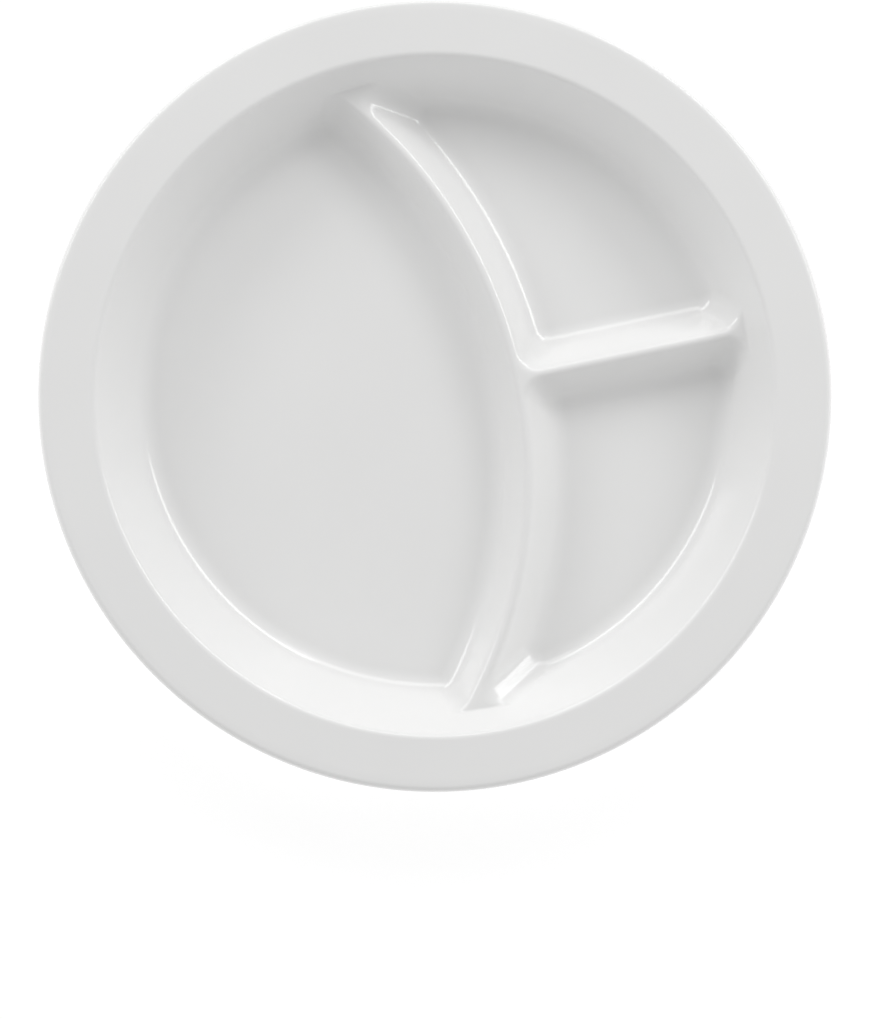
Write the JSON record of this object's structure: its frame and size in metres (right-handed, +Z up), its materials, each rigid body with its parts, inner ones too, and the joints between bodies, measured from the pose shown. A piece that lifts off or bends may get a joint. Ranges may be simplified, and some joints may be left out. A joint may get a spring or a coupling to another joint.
{
  "type": "divided compartment plate",
  "caption": "Round divided plate for serving food, with a wide flat rim, sloping wells, hollow dividers and a low foot.",
  "frame": {"origin": "on the plate's own axis, in the plane of the foot's underside, which is the table", "axes": "+Z up along the plate's axis, +X from the axis along the short divider, Y 0 is the plane that both halves mirror in"},
  "size_m": [0.254, 0.254, 0.0254],
  "materials": {
    "melamine": "gloss"
  },
  "bodies": {
    "root": {"plate": "melamine"}
  },
  "joints": []
}
